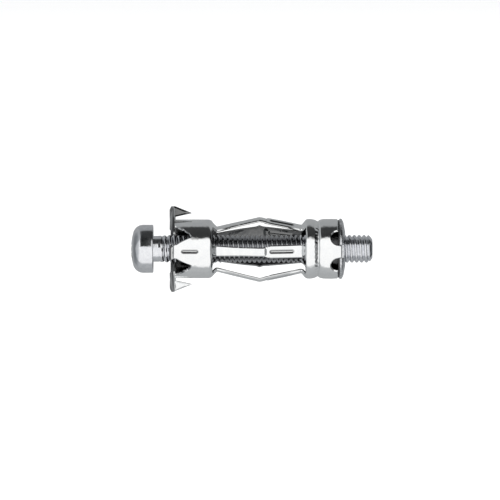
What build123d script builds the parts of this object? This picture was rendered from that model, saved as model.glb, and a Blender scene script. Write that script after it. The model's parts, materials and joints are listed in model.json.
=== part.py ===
"""Hollow-wall anchor: folding sheet-steel sleeve, end nut and machine screw.

The axis runs along +X, from the screw head to the nut. The origin is on the axis, in
the plane of the flange's face that rests on the wall. Leg 1 points to -Y.
The sleeve is one stamped sheet, divided here at its fold lines into hinged links.
"""

from build123d import *
from math import atan2, cos, degrees, hypot, radians, sin, sqrt, tan
import os

os.makedirs("parts", exist_ok=True)

# ---------------------------------------------------------------- dimensions, mm
SHEET = 0.55  # thickness of the sleeve's sheet steel
HALF_SHEET = SHEET / 2

# sleeve, flange end
FLANGE_RADIUS = 8.9
FLANGE_BEND = 1.2  # mid-sheet bend radius between the flange and the barrel
BARREL_RADIUS = 6.0
BARREL_END_X = 7.85
SHOULDER_END_X = 9.0
SHOULDER_RADII = (0.8, 0.6)
SLOT_START_X = 8.16  # where the slots between the legs begin

# linkage: two equal links per leg, between two pivots at the same radius
PIVOT_RADIUS = 4.68
FRONT_PIVOT_X = 9.60
CREASE_X = 17.92
CREASE_RADIUS = 6.55
REAR_PIVOT_X = 2 * CREASE_X - FRONT_PIVOT_X
SIDE_LEG_ANGLE = 72.0  # degrees from leg 1
SEAM_LEG_ANGLE = 152.0  # the two legs beside the seam, which is opposite leg 1
FOLD_RANGE = 65.0  # degrees that a front link swings out from rest
LINK_LENGTH = hypot(CREASE_X - FRONT_PIVOT_X, CREASE_RADIUS - PIVOT_RADIUS)
REST_SLOPE = degrees(atan2(CREASE_RADIUS - PIVOT_RADIUS, CREASE_X - FRONT_PIVOT_X))
FRONT_WIDTH = 2.10
CREASE_WIDTH = 1.75
SEAM_LEG_CREASE_WIDTH = 2.45
REAR_WIDTH = 2.60
WIDEN_START = 0.7  # along a rear link, from the crease
WIDEN_END = 2.2
SEAT_RADIUS = HALF_SHEET + 0.06  # hollow end that faces a link's round end
RELIEF_GAP = 0.03

# stiffening channels, pressed inward
CHANNEL_DEPTH = 0.15
LEG_CHANNEL_LENGTH = 5.3
LEG_CHANNEL_WIDTH = 0.68
LEG_CHANNEL_CENTRE = 4.65  # along a rear link, from the crease
TAB_CHANNEL_LENGTH = 3.6
TAB_CHANNEL_WIDTH = 0.75
TAB_CHANNEL_CENTRE_X = 3.65

# two arched notches leave a narrow petal in line with leg 1; the rest is one wide petal
NARROW_PETAL_HALF = 1.4
NOTCH_APEX_X = 3.84
NOTCH_ANGLE = 35.0  # of the cutter, from the narrow petal's centreline
NOTCH_NEAR = -2.25  # sideways from the cutter's centre, at the flange
NOTCH_APEX = -0.55
NOTCH_BULGE = 1.0
NOTCH_FAR = 1.85
WIDE_PETAL_ROOT_ANGLE = 53.0
WIDE_PETAL_RIM_ANGLE = 24.0

# barbs, cut from the flange's rim and bent to point into the wall
BARB_INNER = 6.6
BARB_OUTER = 8.75
BARB_TIP_RADIUS = 7.35
BARB_LENGTH = 3.95

# sleeve, rear collar
NECK_END_X = 26.75
REAR_SLOT_END_X = 27.5
COLLAR_RADIUS = 6.12
RING_1_START_X = 27.75
RING_1_END_X = 28.4
GROOVE_X = 29.95
GROOVE_RADIUS = 5.55
RING_2_START_X = 30.8
RING_2_END_X = 34.0
CRIMP_TAB_END_X = 34.7
CRIMP_TAB_HALF = 1.4
REAR_NOTCH_RADIUS = 1.47
REAR_NOTCH_ANGLE = 28.0
COLLAR_BENDS = (0.6, 0.6, 1.4, 0.35, 0.8)  # mid-sheet, in order from the neck

# end nut
NUT_FRONT_X = 31.3
NUT_BODY_RADIUS = 5.52
NUT_RIM_X = 34.12
NUT_RIM_END_X = 34.7
NUT_RIM_RADIUS = 6.2
NUT_CONE_X = 35.16
NUT_CONE_RADIUS = 5.4
NUT_END_X = 35.52
NUT_END_RADIUS = 3.4
NUT_BORE_RADIUS = 2.92
NUT_CHAMFER = 0.3
NUT_SLOT_HALF = 1.5

# machine screw
SCREW_TIP_X = 41.1
HEAD_UNDER_X = -3.90
HEAD_HEIGHT = 4.6
HEAD_RADIUS = 4.95
HEAD_SIDE = 2.05  # height of the head's cylindrical side
HEAD_CORNER = 2.15
THREAD_RADIUS = 2.85
THREAD_ROOT_RADIUS = 2.36
THREAD_PITCH = 1.0
THREAD_START_X = -2.9
THREAD_CREST = 0.2  # share of a pitch that is flat at the crest and at the root
TIP_CHAMFER = 0.6
RECESS_SPAN = 5.8
RECESS_WING = 1.25
RECESS_DEPTH = 2.7
RECESS_TAPER = 5.0

BEYOND = 2.0  # how far a cutter runs past what it cuts


# ---------------------------------------------------------------- planes and helpers
def outward(angle):
    """Unit vector away from the axis, at an angle from -Y towards +Z."""
    return Vector(0, -cos(radians(angle)), sin(radians(angle)))


def side_plane(angle):
    """Plane through the axis: local x is the axis, local y is the radius."""
    return Plane(origin=(0, 0, 0), x_dir=(1, 0, 0), z_dir=Vector(1, 0, 0).cross(outward(angle)))


def plan_plane(angle):
    """Plane seen from outside at this angle: local x is the axis."""
    return Plane(origin=(0, 0, 0), x_dir=(1, 0, 0), z_dir=outward(angle))


def link_plane(angle, start_x, start_radius, slope):
    """Side plane of one link, with local x along the link from its first pivot."""
    along = Vector(cos(radians(slope)), 0, 0) + outward(angle) * sin(radians(slope))
    start = Vector(start_x, 0, 0) + outward(angle) * start_radius
    return Plane(origin=start, x_dir=along, z_dir=Vector(1, 0, 0).cross(outward(angle)))


def link_plan(side):
    """Plane of a link's flat face, seen from outside, through its mid-thickness."""
    return Plane(origin=side.origin, x_dir=side.x_dir, z_dir=side.y_dir)


def cut_leg_slots(from_x, to_x, width):
    """Leaves only strips of the given width, one in line with each leg."""
    with BuildSketch(Plane.YZ.offset(from_x)) as gaps:
        Circle(FLANGE_RADIUS)
        for angle in leg_angles:
            with PolarLocations(FLANGE_RADIUS / 2, 1, start_angle=180 - angle):
                Rectangle(FLANGE_RADIUS, width, mode=Mode.SUBTRACT)
    extrude(gaps.sketch, amount=to_x - from_x, mode=Mode.SUBTRACT)


def cut_hinge_seats(pivot_x, width):
    """Hollows the strips' ends round each pivot, open outward for the folding link."""
    for angle in leg_angles:
        with BuildSketch(side_plane(angle)) as seat:
            with Locations((pivot_x, PIVOT_RADIUS)):
                Circle(SEAT_RADIUS)
                Rectangle(2 * SEAT_RADIUS, BEYOND, align=(Align.CENTER, Align.MIN))
        extrude(seat.sketch, amount=width, both=True, mode=Mode.SUBTRACT)


leg_angles = (0, SIDE_LEG_ANGLE, SEAM_LEG_ANGLE, -SEAM_LEG_ANGLE, -SIDE_LEG_ANGLE)
# the fold's inner faces meet on this line at full fold, so both links are cut back to it
fold_half_angle = 90 - REST_SLOPE - FOLD_RANGE
relief_length = (HALF_SHEET + RELIEF_GAP) / tan(radians(fold_half_angle))

# ---------------------------------------------------------------- flange and barrel
with BuildPart() as flange_barrel:
    barrel_mid = BARREL_RADIUS - HALF_SHEET
    with BuildSketch(Plane.XZ):
        with BuildLine():
            FilletPolyline(
                (-HALF_SHEET, FLANGE_RADIUS),
                (-HALF_SHEET, barrel_mid),
                (BARREL_END_X, barrel_mid),
                (SHOULDER_END_X, PIVOT_RADIUS),
                (FRONT_PIVOT_X, PIVOT_RADIUS),
                radius=[FLANGE_BEND, *SHOULDER_RADII],
            )
        trace(line_width=SHEET)
    revolve(axis=Axis.X)
    cut_leg_slots(SLOT_START_X, FRONT_PIVOT_X + BEYOND, FRONT_WIDTH)
    cut_hinge_seats(FRONT_PIVOT_X, FRONT_WIDTH)

    root_y = BARREL_RADIUS * cos(radians(WIDE_PETAL_ROOT_ANGLE))
    root_z = BARREL_RADIUS * sin(radians(WIDE_PETAL_ROOT_ANGLE))
    rim_y = FLANGE_RADIUS * cos(radians(WIDE_PETAL_RIM_ANGLE))
    rim_z = FLANGE_RADIUS * sin(radians(WIDE_PETAL_RIM_ANGLE))
    past_rim = FLANGE_RADIUS + BEYOND
    for side in (1, -1):
        # gap in the flange, from the barrel out to the rim
        with BuildSketch(Plane.YZ.offset(-SHEET - BEYOND)):
            with BuildLine():
                Polyline(
                    (-root_y, side * NARROW_PETAL_HALF),
                    (-past_rim, side * NARROW_PETAL_HALF),
                    (-past_rim, side * rim_z),
                    (-rim_y, side * rim_z),
                    (-root_y, side * root_z),
                    close=True,
                )
            make_face()
        extrude(amount=SHEET + BEYOND + FLANGE_BEND - HALF_SHEET, mode=Mode.SUBTRACT)
        # pointed arch in the barrel
        with BuildSketch(plan_plane(side * NOTCH_ANGLE).offset(PIVOT_RADIUS)):
            with BuildLine():
                Line((-BEYOND, side * NOTCH_NEAR), (0, side * NOTCH_NEAR))
                Line((0, side * NOTCH_NEAR), (NOTCH_APEX_X, side * NOTCH_APEX))
                ThreePointArc(
                    (NOTCH_APEX_X, side * NOTCH_APEX),
                    (NOTCH_APEX_X * 0.7, side * NOTCH_BULGE),
                    (SHEET, side * NOTCH_FAR),
                )
                Line((SHEET, side * NOTCH_FAR), (-BEYOND, side * NOTCH_FAR))
                Line((-BEYOND, side * NOTCH_FAR), (-BEYOND, side * NOTCH_NEAR))
            make_face()
        extrude(amount=BARREL_RADIUS + FLANGE_BEND - PIVOT_RADIUS, mode=Mode.SUBTRACT)

    for turn in (1, -1):
        # the rim's edge that was bent down leaves an open step beside the barb
        with BuildSketch(Plane.YZ.offset(-SHEET - BEYOND)):
            with BuildLine():
                Polyline(
                    (0, turn * BARB_INNER),
                    (BARB_LENGTH, turn * BARB_TIP_RADIUS),
                    (BARB_LENGTH, turn * past_rim),
                    (0, turn * past_rim),
                    close=True,
                )
            make_face()
        extrude(amount=SHEET + BEYOND + HALF_SHEET, mode=Mode.SUBTRACT)
        with BuildSketch(Plane.XZ.offset(HALF_SHEET)):
            with BuildLine():
                Polyline(
                    (-SHEET, turn * BARB_INNER),
                    (-SHEET, turn * BARB_OUTER),
                    (0, turn * BARB_OUTER),
                    (BARB_LENGTH, turn * BARB_TIP_RADIUS),
                    (0, turn * BARB_INNER),
                    close=True,
                )
            make_face()
        extrude(amount=HALF_SHEET, both=True)

    with BuildSketch(plan_plane(0).offset(BARREL_RADIUS - CHANNEL_DEPTH)):
        with Locations((TAB_CHANNEL_CENTRE_X, 0)):
            SlotOverall(TAB_CHANNEL_LENGTH, TAB_CHANNEL_WIDTH)
    extrude(amount=SHEET, mode=Mode.SUBTRACT)
flange_barrel.part.label = "flange_barrel"
export_step(flange_barrel.part, "parts/flange_barrel.step")

# ---------------------------------------------------------------- legs
for number, angle in enumerate(leg_angles, start=1):
    crease_width = SEAM_LEG_CREASE_WIDTH if abs(angle) == SEAM_LEG_ANGLE else CREASE_WIDTH
    front_side = link_plane(angle, FRONT_PIVOT_X, PIVOT_RADIUS, REST_SLOPE)
    with BuildPart() as front_link:
        with BuildSketch(front_side):
            with Locations((LINK_LENGTH / 2, 0)):
                Rectangle(LINK_LENGTH, SHEET)
            with BuildLine():
                Polyline(
                    (LINK_LENGTH, RELIEF_GAP),
                    (LINK_LENGTH - relief_length, -HALF_SHEET),
                    (LINK_LENGTH, -SHEET),
                    close=True,
                )
            make_face(mode=Mode.SUBTRACT)
            with Locations((0, 0), (LINK_LENGTH, 0)):
                Circle(HALF_SHEET)
        extrude(amount=FRONT_WIDTH / 2, both=True)
        with BuildSketch(link_plan(front_side)):
            with BuildLine():
                Polyline(
                    (-SHEET, -FRONT_WIDTH / 2),
                    (0, -FRONT_WIDTH / 2),
                    (LINK_LENGTH, -crease_width / 2),
                    (LINK_LENGTH + SHEET, -crease_width / 2),
                    (LINK_LENGTH + SHEET, crease_width / 2),
                    (LINK_LENGTH, crease_width / 2),
                    (0, FRONT_WIDTH / 2),
                    (-SHEET, FRONT_WIDTH / 2),
                    close=True,
                )
            make_face()
        extrude(amount=SHEET, both=True, mode=Mode.INTERSECT)
    front_link.part.label = f"leg_{number}_front"
    export_step(front_link.part, f"parts/leg_{number}_front.step")

    rear_side = link_plane(angle, CREASE_X, CREASE_RADIUS, -REST_SLOPE)
    with BuildPart() as rear_link:
        with BuildSketch(rear_side):
            with Locations((LINK_LENGTH / 2, 0)):
                Rectangle(LINK_LENGTH, SHEET)
            with BuildLine():
                Polyline(
                    (0, RELIEF_GAP),
                    (relief_length, -HALF_SHEET),
                    (0, -SHEET),
                    close=True,
                )
            make_face(mode=Mode.SUBTRACT)
            Circle(SEAT_RADIUS, mode=Mode.SUBTRACT)
            with Locations((LINK_LENGTH, 0)):
                Circle(HALF_SHEET)
        extrude(amount=REAR_WIDTH / 2, both=True)
        with BuildSketch(link_plan(rear_side)):
            with BuildLine():
                Polyline(
                    (0, -crease_width / 2),
                    (WIDEN_START, -crease_width / 2),
                    (WIDEN_END, -REAR_WIDTH / 2),
                    (LINK_LENGTH + SHEET, -REAR_WIDTH / 2),
                    (LINK_LENGTH + SHEET, REAR_WIDTH / 2),
                    (WIDEN_END, REAR_WIDTH / 2),
                    (WIDEN_START, crease_width / 2),
                    (0, crease_width / 2),
                    close=True,
                )
            make_face()
        extrude(amount=SHEET, both=True, mode=Mode.INTERSECT)
        with BuildSketch(link_plan(rear_side).offset(HALF_SHEET - CHANNEL_DEPTH)):
            with Locations((LEG_CHANNEL_CENTRE, 0)):
                SlotOverall(LEG_CHANNEL_LENGTH, LEG_CHANNEL_WIDTH)
        extrude(amount=SHEET, mode=Mode.SUBTRACT)
    rear_link.part.label = f"leg_{number}_rear"
    export_step(rear_link.part, f"parts/leg_{number}_rear.step")

# ---------------------------------------------------------------- rear collar
with BuildPart() as rear_collar:
    collar_mid = COLLAR_RADIUS - HALF_SHEET
    with BuildSketch(Plane.XZ):
        with BuildLine():
            FilletPolyline(
                (REAR_PIVOT_X, PIVOT_RADIUS),
                (NECK_END_X, PIVOT_RADIUS),
                (RING_1_START_X, collar_mid),
                (RING_1_END_X, collar_mid),
                (GROOVE_X, GROOVE_RADIUS - HALF_SHEET),
                (RING_2_START_X, collar_mid),
                (CRIMP_TAB_END_X, collar_mid),
                radius=list(COLLAR_BENDS),
            )
        trace(line_width=SHEET)
    revolve(axis=Axis.X)
    cut_leg_slots(REAR_PIVOT_X - BEYOND, REAR_SLOT_END_X, REAR_WIDTH)
    cut_hinge_seats(REAR_PIVOT_X, REAR_WIDTH)
    # past the rear edge, only the two crimp tabs remain
    with BuildSketch(Plane.YZ.offset(RING_2_END_X)):
        Circle(FLANGE_RADIUS)
        Rectangle(2 * FLANGE_RADIUS, 2 * CRIMP_TAB_HALF, mode=Mode.SUBTRACT)
    extrude(amount=BEYOND, mode=Mode.SUBTRACT)
    for centre in (0, 180):
        for angle in (centre - REAR_NOTCH_ANGLE, centre + REAR_NOTCH_ANGLE):
            with BuildSketch(plan_plane(angle).offset(PIVOT_RADIUS)):
                with Locations((RING_2_END_X, 0)):
                    Circle(REAR_NOTCH_RADIUS)
            extrude(amount=BEYOND, mode=Mode.SUBTRACT)
rear_collar.part.label = "rear_collar"
export_step(rear_collar.part, "parts/rear_collar.step")

# ---------------------------------------------------------------- end nut
with BuildPart() as end_nut:
    with BuildSketch(Plane.XZ):
        with BuildLine():
            Polyline(
                (NUT_FRONT_X, NUT_BORE_RADIUS + NUT_CHAMFER),
                (NUT_FRONT_X, NUT_BODY_RADIUS - NUT_CHAMFER),
                (NUT_FRONT_X + NUT_CHAMFER, NUT_BODY_RADIUS),
                (NUT_RIM_X, NUT_BODY_RADIUS),
                (NUT_RIM_X, NUT_RIM_RADIUS),
                (NUT_RIM_END_X, NUT_RIM_RADIUS),
                (NUT_CONE_X, NUT_CONE_RADIUS),
                (NUT_END_X, NUT_END_RADIUS),
                (NUT_END_X, NUT_BORE_RADIUS),
                (NUT_FRONT_X + NUT_CHAMFER, NUT_BORE_RADIUS),
                close=True,
            )
        make_face()
    revolve(axis=Axis.X)
    # two slots in the rim take the collar's crimp tabs
    with BuildSketch(Plane.YZ.offset(NUT_RIM_X)):
        Rectangle(2 * FLANGE_RADIUS, 2 * NUT_SLOT_HALF)
        Circle(NUT_BODY_RADIUS, mode=Mode.SUBTRACT)
    extrude(amount=BEYOND, mode=Mode.SUBTRACT)
end_nut.part.label = "end_nut"
export_step(end_nut.part, "parts/end_nut.step")

# ---------------------------------------------------------------- machine screw
corner_x = HEAD_UNDER_X - HEAD_SIDE
corner_radius = HEAD_RADIUS - HEAD_CORNER
head_top_x = HEAD_UNDER_X - HEAD_HEIGHT
# the domed face is centred on the axis and runs into the corner round without a kink
rise = HEAD_HEIGHT - HEAD_SIDE - HEAD_CORNER
dome_offset = (corner_radius**2 - rise**2) / (2 * rise)
dome_radius = dome_offset + HEAD_HEIGHT - HEAD_SIDE
dome_centre_x = corner_x + dome_offset
joint_angle = atan2(dome_offset, corner_radius)
joint_point = (corner_x - HEAD_CORNER * sin(joint_angle), corner_radius + HEAD_CORNER * cos(joint_angle))
half_joint = joint_angle / 2
corner_mid = (corner_x - HEAD_CORNER * sin(half_joint), corner_radius + HEAD_CORNER * cos(half_joint))
dome_mid_radius = joint_point[1] / 2
dome_mid = (dome_centre_x - sqrt(dome_radius**2 - dome_mid_radius**2), dome_mid_radius)

thread_length = SCREW_TIP_X - TIP_CHAMFER - THREAD_START_X
thread_turns = int(thread_length / THREAD_PITCH)
flat = THREAD_PITCH * THREAD_CREST
flank = THREAD_PITCH / 2 - flat
thread_outline = []
for turn in range(thread_turns):
    ring_x = THREAD_START_X + turn * THREAD_PITCH
    thread_outline += [
        (ring_x, THREAD_ROOT_RADIUS),
        (ring_x + flank, THREAD_RADIUS),
        (ring_x + flank + flat, THREAD_RADIUS),
        (ring_x + 2 * flank + flat, THREAD_ROOT_RADIUS),
    ]

with BuildPart() as machine_screw:
    with BuildSketch(Plane.XZ):
        with BuildLine():
            Line((head_top_x, 0), (SCREW_TIP_X, 0))
            ThreePointArc((head_top_x, 0), dome_mid, joint_point)
            ThreePointArc(joint_point, corner_mid, (corner_x, HEAD_RADIUS))
            Polyline(
                (corner_x, HEAD_RADIUS),
                (HEAD_UNDER_X, HEAD_RADIUS),
                (HEAD_UNDER_X, THREAD_RADIUS),
                (THREAD_START_X - flat, THREAD_RADIUS),
                *thread_outline,
                (SCREW_TIP_X - TIP_CHAMFER, THREAD_ROOT_RADIUS),
                (SCREW_TIP_X, THREAD_ROOT_RADIUS - TIP_CHAMFER),
                (SCREW_TIP_X, 0),
            )
        make_face()
    revolve(axis=Axis.X)
    # cross recess for the screwdriver
    with BuildSketch(Plane.YZ.offset(head_top_x)):
        Rectangle(RECESS_SPAN, RECESS_WING, rotation=45)
        Rectangle(RECESS_WING, RECESS_SPAN, rotation=45)
    extrude(amount=RECESS_DEPTH, taper=RECESS_TAPER, mode=Mode.SUBTRACT)
machine_screw.part.label = "machine_screw"
export_step(machine_screw.part, "parts/machine_screw.step")
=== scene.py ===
"""Looks of a hollow-wall anchor: rolled sheet-steel sleeve, crimped end nut, machine screw.

Shapes are worked out in millimetres in the row frame (+X from the screw head to the nut,
origin on the axis at the wall face) and turned into metres when a mesh is made.
Angles round the axis are counted from -Y, where leg 1 is, towards +Z.
"""

import json
from math import asin, atan2, copysign, cos, degrees, hypot, pi, radians, sin, sqrt, tan

import bmesh
import bpy
import numpy as np
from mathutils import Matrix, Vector
from mathutils.geometry import delaunay_2d_cdt


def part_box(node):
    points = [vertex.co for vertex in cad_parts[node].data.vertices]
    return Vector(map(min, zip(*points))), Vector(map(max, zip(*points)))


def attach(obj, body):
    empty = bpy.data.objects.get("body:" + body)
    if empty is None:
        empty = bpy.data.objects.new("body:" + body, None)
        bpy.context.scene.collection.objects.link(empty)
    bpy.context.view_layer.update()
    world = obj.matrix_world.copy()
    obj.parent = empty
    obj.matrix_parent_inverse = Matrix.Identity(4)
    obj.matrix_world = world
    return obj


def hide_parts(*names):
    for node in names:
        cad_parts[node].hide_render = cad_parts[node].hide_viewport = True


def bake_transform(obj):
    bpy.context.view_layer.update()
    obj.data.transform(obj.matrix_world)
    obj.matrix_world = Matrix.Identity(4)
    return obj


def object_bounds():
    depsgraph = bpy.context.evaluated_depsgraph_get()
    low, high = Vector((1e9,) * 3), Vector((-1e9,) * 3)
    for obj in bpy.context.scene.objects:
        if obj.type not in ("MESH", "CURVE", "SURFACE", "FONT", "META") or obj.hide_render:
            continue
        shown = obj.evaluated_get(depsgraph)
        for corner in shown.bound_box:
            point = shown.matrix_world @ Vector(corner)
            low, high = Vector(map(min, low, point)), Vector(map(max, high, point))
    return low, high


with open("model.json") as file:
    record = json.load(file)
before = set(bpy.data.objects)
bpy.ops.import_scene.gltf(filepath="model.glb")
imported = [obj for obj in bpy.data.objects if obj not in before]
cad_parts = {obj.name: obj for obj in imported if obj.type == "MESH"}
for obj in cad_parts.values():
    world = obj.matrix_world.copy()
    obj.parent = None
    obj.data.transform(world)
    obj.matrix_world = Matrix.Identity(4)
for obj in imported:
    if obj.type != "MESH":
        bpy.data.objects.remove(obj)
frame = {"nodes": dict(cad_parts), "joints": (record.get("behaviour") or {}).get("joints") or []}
cad_low, cad_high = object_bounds()

MM = 0.001

# ---------------------------------------------------------------- places from the frame
joints = {j["name"]: j for j in frame["joints"]}


def pivot(joint):
    """A fold's place in mm: (along the axis, distance from it, angle round it)."""
    x, y, z = (value / MM for value in joints[joint]["pos_m"])
    return x, hypot(y, z), atan2(z, -y)


legs = [number for number in range(1, len(joints)) if f"leg_{number}_front" in frame["nodes"]]
leg_angles = [pivot(f"leg_{number}_front_fold")[2] for number in legs]
crease_x, crease_r, _ = pivot("leg_1_rear_fold")
rear_fold_x = pivot("collar_level")[0]
flange_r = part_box("flange_barrel")[1].z / MM
screw_low, screw_high = (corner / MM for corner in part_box("machine_screw"))
nut_low, nut_high = (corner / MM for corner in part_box("end_nut"))
head_r = screw_high.z
tip_x = screw_high.x

# ---------------------------------------------------------------- dimensions, mm
SHEET = 0.55
ROLL_WIDTH = 0.2  # the cut edges are rolled over on the outer side, and less on the inner
ROLL_DROP = 0.21
INNER_ROLL_DROP = 0.14
# painted shade on the inner cut edges, a little less than on the rest of the inner side
INNER_EDGE_PAINTED_SHADE = 0.8
ROLL_LEAN = 0.7  # how far the rolled edge leans outward, against the sheet's own direction
BARREL_MID = 5.76  # radii to the middle of the sheet
FRONT_NECK_MID = 4.455
REAR_NECK_MID = 4.8
RING_MID = 5.86
GROOVE_MID = 5.3
FLANGE_BEND = 1.0
SLOT_START_X = 8.16
FRONT_JOIN_X = 9.1  # where the flange piece ends and the legs begin
MID_FRONT_X = 13.6  # where a leg's front fold piece meets its crease piece
MID_REAR_X = 19.6  # where the crease piece meets the rear piece
REAR_JOIN_X = 26.8
OPEN_END_LAP = 0.15  # legs that end in an open pivot and the collar pass it by this much
REAR_SLOT_X = 27.45
REAR_EDGE_X = 34.0
TAB_END_X = 34.72
FRONT_HALF_WIDTH = 1.05
CREASE_HALF_WIDTH = 0.9
SEAM_LEG_CREASE_HALF_WIDTH = 1.27  # of the two legs nearest to the seam
CREASE_BULGE = 0.2  # on each side of a seam leg, where its sheet is pressed out at the crease
CREASE_BULGE_LENGTH = 0.45
REAR_HALF_WIDTH = 1.3
TAPER_END_X = 14.5
WIDEN_START = 0.7  # behind the crease, where a leg widens to its rear width
WIDEN_END = 2.3
FLAT_FROM = 0.45  # share of the way from a leg's end to its crease where it is flattest
FLATTENED = 0.8
GROOVE_DEPTH = 0.31
GROOVE_WALL = 0.4  # width of a groove's sloping wall
GROOVE_LIP = 0.035
# painted shade on a groove's sloping wall
GROOVE_PAINTED_SHADE = 0.5
SEAM_ANGLE = -180.0  # the rolled sheet's two edges meet here, opposite leg 1
SEAM_GAP = 0.06
FLANK_START_X = 29.1  # marks left all round the front flank of the collar's groove
FLANK_END_X = 29.95
FLANK_FADE_IN = 0.25
FLANK_FADE_OUT = 0.15
KNURLS = 36
KNURL_DEPTH = 0.07
PINCH_X = 19.3  # a small dent across each leg, where it widens behind the crease
PINCH_DEPTH = 0.24
PINCH_LENGTH = 0.27
PINCH_WIDTH = 0.75
RIM_CURL = 0.35
RIM_CURL_WIDTH = 0.9
PETAL_DISH = 0.45  # how far the wide petal's sides lie nearer to the wall than its rim
DISH_CLEAR = 0.6  # from the barbs' plane to where the dish starts
DISH_EASE = 2.4
DISH_START_R = 6.2
DISH_SPREAD = 1.8
# no dish on the narrow petal, nor beside the seam, where it breaks off in a step
DISH_LEAST_SINE = 0.25

NARROW_PETAL_HALF = 1.4
NOTCH_APEX_X = 3.84
NOTCH_APEX_ANGLE = 29.0
NOTCH_ROOT_X = 0.75
NOTCH_ROOT_ANGLE = 55.0
NOTCH_ARCH_POWER = 1.7
WIDE_PETAL_RIM_ANGLE = 24.0
PETAL_CORNER = 0.45

BARB_INNER = 6.55
BARB_OUTER = 8.78
BARB_TIP_R = 7.35
BARB_LENGTH = 3.95
BARB_BEND = 0.85
BARB_FACE_Y = 0.3  # the barb's mid-sheet, off the plane through the axis
BARB_DISH = 0.24  # how far the middle of a barb's face is pressed in

HEAD_UNDER_X = -3.9
HEAD_SIDE = 2.05
HEAD_CORNER = 2.15
THREAD_R = 2.86  # of the crests
THREAD_ROOT_R = 2.36
CREST_POWER = 0.85
THREAD_PITCH = 1.0
THREAD_PHASE = 2.13  # from the head's top to a crest on the side opposite +Z
THREAD_START_X = -3.1
THREAD_RUN_OUT = 2.6
SHANK_R = 2.66
CHAMFER_LENGTH = 0.75
CHAMFER_DEPTH = 0.85
CHAMFER_POWER = 1.4

NUT_RIM_AT = 2.82  # from the nut's front end to its rim
NUT_GAP = 0.2  # between the collar's edge and the nut's rim
NUT_BODY_R = 5.5
NUT_WAIST_R = 4.7
NUT_BACK_R = 5.95
NUT_SLOT_HALF = 1.5
NUT_SLOT_R = 5.3

GRID = 0.24  # spacing of the points that carry a sheet's shape


# ---------------------------------------------------------------- outlines
def filleted(corners, closed=False, step=0.06):
    """Points along straight runs joined by arcs. Each corner is (x, y, radius)."""
    points = [np.array(c[:2], float) for c in corners]
    count = len(points)
    out = []
    for i, corner in enumerate(corners):
        here = points[i]
        radius = corner[2] if len(corner) > 2 else 0.0
        if radius == 0 or (not closed and i in (0, count - 1)):
            out.append(here)
            continue
        before, after = points[i - 1], points[(i + 1) % count]
        inward = (here - before) / np.linalg.norm(here - before)
        outward = (after - here) / np.linalg.norm(after - here)
        turn = np.arccos(np.clip(inward @ outward, -1, 1))
        if turn < 1e-3:
            out.append(here)
            continue
        room = min(np.linalg.norm(here - before), np.linalg.norm(after - here)) * 0.49
        reach = min(radius * tan(turn / 2), room)
        radius = reach / tan(turn / 2)
        side = 1 if inward[0] * outward[1] - inward[1] * outward[0] > 0 else -1
        centre = here - inward * reach + side * radius * np.array([-inward[1], inward[0]])
        spoke = here - inward * reach - centre
        for share in np.linspace(0, 1, max(3, int(radius * turn / step) + 2)):
            angle = side * turn * share
            turned = [
                spoke[0] * cos(angle) - spoke[1] * sin(angle),
                spoke[0] * sin(angle) + spoke[1] * cos(angle),
            ]
            out.append(centre + turned)
    return np.array(out)


def divided(loop, step):
    """A closed loop with its long edges divided, so that no edge is longer than step."""
    out = []
    for a, b in zip(loop, np.roll(loop, -1, axis=0)):
        length = np.linalg.norm(b - a)
        if length < 1e-6:
            continue
        for share in np.arange(0, 1, 1 / max(1, int(np.ceil(length / step)))):
            out.append(a + (b - a) * share)
    return np.array(out)


class Profile:
    """The sleeve's mid-sheet line in (x, radius), measured by its own length."""

    def __init__(self, corners):
        points = filleted(corners)
        lengths = np.r_[0, np.cumsum(np.linalg.norm(np.diff(points, axis=0), axis=1))]
        self.s = np.arange(0, lengths[-1], 0.02)
        self.x = np.interp(self.s, lengths, points[:, 0])
        self.r = np.interp(self.s, lengths, points[:, 1])

    def at(self, s):
        return np.interp(s, self.s, self.x), np.interp(s, self.s, self.r)

    def length_at_x(self, x):
        """Length along the line where it passes x, past the flange."""
        past = self.s > self.s[np.argmin(self.x)]
        rising = np.maximum.accumulate(self.x)
        return float(np.interp(x, rising[past], self.s[past]))

    def length_at_r(self, r):
        """Length along the line at this radius, in the flange and its bend."""
        first = self.s < self.length_at_x(NOTCH_ROOT_X)
        return float(np.interp(-r, -self.r[first], self.s[first]))


sleeve = Profile(
    [
        (-SHEET / 2, flange_r),
        (-SHEET / 2, BARREL_MID, FLANGE_BEND),
        (7.75, BARREL_MID, 0.85),
        (9.0, FRONT_NECK_MID, 0.5),
        (9.35, FRONT_NECK_MID, 0.6),
        (crease_x, crease_r, 0.5),
        (rear_fold_x, REAR_NECK_MID, 0.8),
        (26.7, REAR_NECK_MID, 0.5),
        (27.6, RING_MID, 0.6),
        (28.5, RING_MID, 1.0),
        (29.15, 5.72, 0.5),
        (29.95, GROOVE_MID, 0.22),
        (30.35, 5.72, 0.4),
        (31.1, RING_MID, 1.2),
        (REAR_EDGE_X - 1.2, RING_MID + 0.03, 2.0),
        (REAR_EDGE_X, RING_MID - 0.02, 0.4),
        (TAB_END_X + 0.3, RING_MID - 0.22),
    ]
)


# ---------------------------------------------------------------- sheets
def surface(place, uv):
    """Point, the two directions along the sheet and its outward normal, at each (u, v)."""
    e = 0.03
    point = place(uv)
    along_u = (place(uv + [e, 0]) - place(uv - [e, 0])) / (2 * e)
    along_v = (place(uv + [0, e]) - place(uv - [0, e])) / (2 * e)
    normal = np.cross(along_v, along_u)
    return point, along_u, along_v, normal / np.linalg.norm(normal, axis=1)[:, None]


def inside(loop, points):
    """True for each point within a closed loop."""
    found = np.zeros(len(points), bool)
    for a, b in zip(loop, np.roll(loop, -1, axis=0)):
        if a[1] == b[1]:
            continue
        between = (points[:, 1] > min(a[1], b[1])) & (points[:, 1] <= max(a[1], b[1]))
        cross_x = a[0] + (points[:, 1] - a[1]) / (b[1] - a[1]) * (b[0] - a[0])
        found ^= between & (points[:, 0] < cross_x)
    return found


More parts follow.
